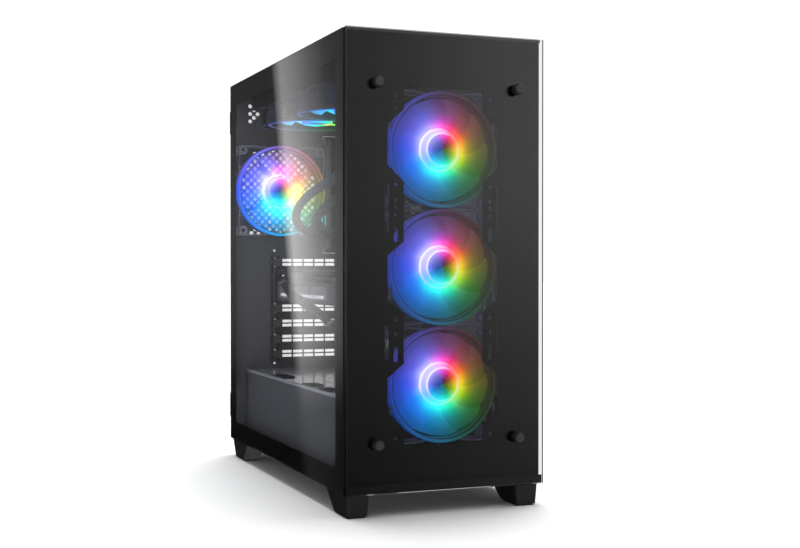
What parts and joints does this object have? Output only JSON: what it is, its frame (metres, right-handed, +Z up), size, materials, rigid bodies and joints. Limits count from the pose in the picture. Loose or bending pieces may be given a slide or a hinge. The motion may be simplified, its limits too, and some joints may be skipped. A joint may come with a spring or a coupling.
{
  "type": "desktop computer tower",
  "caption": "Mid-tower computer with a clear glass front on stand-off knobs, a hinged glass door, lit case fans, liquid cooler, graphics card and power supply.",
  "frame": {"origin": "on the floor, middle of the overall box", "axes": "+X to the right seen from the front, +Y towards the back, +Z up"},
  "size_m": [0.218, 0.48, 0.485],
  "materials": {
    "case_steel": "satin black powder coat",
    "inner_plastic": "fine textured black",
    "gloss_black": "gloss black",
    "front_glass": "clear, polished edges",
    "door_glass": "lightly tinted, polished edges",
    "glass_border": "black printed border",
    "rubber": "matt black",
    "screw_steel": "zinc",
    "black_screw": "black oxide",
    "fan_frame": "smoky translucent plastic",
    "fan_rotor": "milky translucent plastic, lit from the hub",
    "black_rotor": "black",
    "radiator_paint": "black",
    "tube_sleeve": "black woven sleeve",
    "circuit_board": "black solder mask",
    "heatsink": "dark anodised",
    "fin_stack": "bare fins",
    "port_metal": "nickel plated",
    "drive_body": "cast",
    "filter_mesh": "black nylon mesh",
    "cable": "black sleeved leads"
  },
  "bodies": {
    "chassis": {"floor_pan": "case_steel", "rear_panel": "case_steel", "front_plate": "case_steel", "board_tray": "case_steel", "roof_plate": "case_steel", "psu_shroud": "case_steel", "shroud_grommets": "rubber", "drive_cage": "case_steel", "hard_drive": "drive_body", "feet": "inner_plastic", "foot_pads": "rubber", "slot_covers": "case_steel", "slot_screws": "screw_steel", "glass_standoffs": "black_screw", "glass_knobs": "black_screw", "front_glass": "front_glass", "door_hinge_lugs": "black_screw", "door_magnets": "screw_steel", "control_pod": "inner_plastic", "usb_sockets": "port_metal", "front_fan_frame_1": "fan_frame", "front_fan_frame_2": "fan_frame", "front_fan_frame_3": "fan_frame", "rear_fan_frame": "fan_frame", "roof_fan_frame_1": "fan_frame", "roof_fan_frame_2": "fan_frame", "radiator": "radiator_paint", "coolant_tubes": "tube_sleeve", "pump_block": "gloss_black", "motherboard": "circuit_board", "board_heatsinks": "heatsink", "memory_sticks": "heatsink", "rear_ports": "port_metal", "gpu_card": "circuit_board", "gpu_heatsink": "fin_stack", "gpu_shroud": "gloss_black", "psu_case": "case_steel", "psu_inlet": "inner_plastic", "gpu_power_cable": "cable", "board_power_cable": "cable"},
    "door": {"door_glass": "door_glass", "door_frame": "glass_border", "door_knuckles": "black_screw", "door_pull_tab": "inner_plastic"},
    "right_panel": {"right_side_panel": "case_steel", "panel_thumbscrews": "black_screw"},
    "power_button": {"power_button": "gloss_black"},
    "reset_button": {"reset_button": "gloss_black"},
    "psu_filter": {"psu_dust_filter": "filter_mesh"},
    "roof_filter": {"roof_dust_filter": "filter_mesh"},
    "front_rotor_1": {"front_fan_rotor_1": "fan_rotor"},
    "front_rotor_2": {"front_fan_rotor_2": "fan_rotor"},
    "front_rotor_3": {"front_fan_rotor_3": "fan_rotor"},
    "rear_rotor": {"rear_fan_rotor": "fan_rotor"},
    "roof_rotor_1": {"roof_fan_rotor_1": "fan_rotor"},
    "roof_rotor_2": {"roof_fan_rotor_2": "fan_rotor"},
    "gpu_rotor_1": {"gpu_fan_rotor_1": "black_rotor"},
    "gpu_rotor_2": {"gpu_fan_rotor_2": "black_rotor"},
    "psu_rotor": {"psu_fan_rotor": "black_rotor"},
    "psu_rocker": {"psu_switch": "gloss_black"}
  },
  "joints": [
    {"name": "door_swing", "type": "hinge", "parent": "chassis", "child": "door", "pos_m": [-0.105, 0.2364, 0.06], "axis": [0, 0, -1], "range_deg": [0, 120]},
    {"name": "right_panel_slide", "type": "slide", "parent": "chassis", "child": "right_panel", "axis": [0, 1, 0], "range_m": [0, 0.02]},
    {"name": "power_button_press", "type": "slide", "parent": "chassis", "child": "power_button", "axis": [0, 0, -1], "range_m": [0, 0.0015], "stiffness_N_per_m": 400},
    {"name": "reset_button_press", "type": "slide", "parent": "chassis", "child": "reset_button", "axis": [0, 0, -1], "range_m": [0, 0.0015], "stiffness_N_per_m": 400},
    {"name": "psu_filter_slide", "type": "slide", "parent": "chassis", "child": "psu_filter", "axis": [0, 1, 0], "range_m": [0, 0.155]},
    {"name": "roof_filter_lift", "type": "slide", "parent": "chassis", "child": "roof_filter", "axis": [0, 0, 1], "range_m": [0, 0.04]},
    {"name": "front_fan_spin_1", "type": "hinge", "parent": "chassis", "child": "front_rotor_1", "pos_m": [0, -0.205, 0.368], "axis": [0, -1, 0], "continuous": true},
    {"name": "front_fan_spin_2", "type": "hinge", "parent": "chassis", "child": "front_rotor_2", "pos_m": [0, -0.205, 0.248], "axis": [0, -1, 0], "continuous": true},
    {"name": "front_fan_spin_3", "type": "hinge", "parent": "chassis", "child": "front_rotor_3", "pos_m": [0, -0.205, 0.128], "axis": [0, -1, 0], "continuous": true},
    {"name": "rear_fan_spin", "type": "hinge", "parent": "chassis", "child": "rear_rotor", "pos_m": [-0.0435, 0.215, 0.3474], "axis": [0, -1, 0], "continuous": true},
    {"name": "roof_fan_spin_1", "type": "hinge", "parent": "chassis", "child": "roof_rotor_1", "pos_m": [-0.04, 0.066, 0.429], "axis": [0, 0, -1], "continuous": true},
    {"name": "roof_fan_spin_2", "type": "hinge", "parent": "chassis", "child": "roof_rotor_2", "pos_m": [-0.04, -0.054, 0.429], "axis": [0, 0, -1], "continuous": true},
    {"name": "gpu_fan_spin_1", "type": "hinge", "parent": "chassis", "child": "gpu_rotor_1", "pos_m": [0.004, 0.16, 0.21], "axis": [0, 0, -1], "continuous": true},
    {"name": "gpu_fan_spin_2", "type": "hinge", "parent": "chassis", "child": "gpu_rotor_2", "pos_m": [0.004, 0.05, 0.21], "axis": [0, 0, -1], "continuous": true},
    {"name": "psu_fan_spin", "type": "hinge", "parent": "chassis", "child": "psu_rotor", "pos_m": [0.023, 0.15, 0.037], "axis": [0, 0, -1], "continuous": true},
    {"name": "psu_rocker_tilt", "type": "hinge", "parent": "chassis", "child": "psu_rocker", "pos_m": [0.074, 0.2278, 0.042], "axis": [0, 0, -1], "range_deg": [0, 20]}
  ]
}
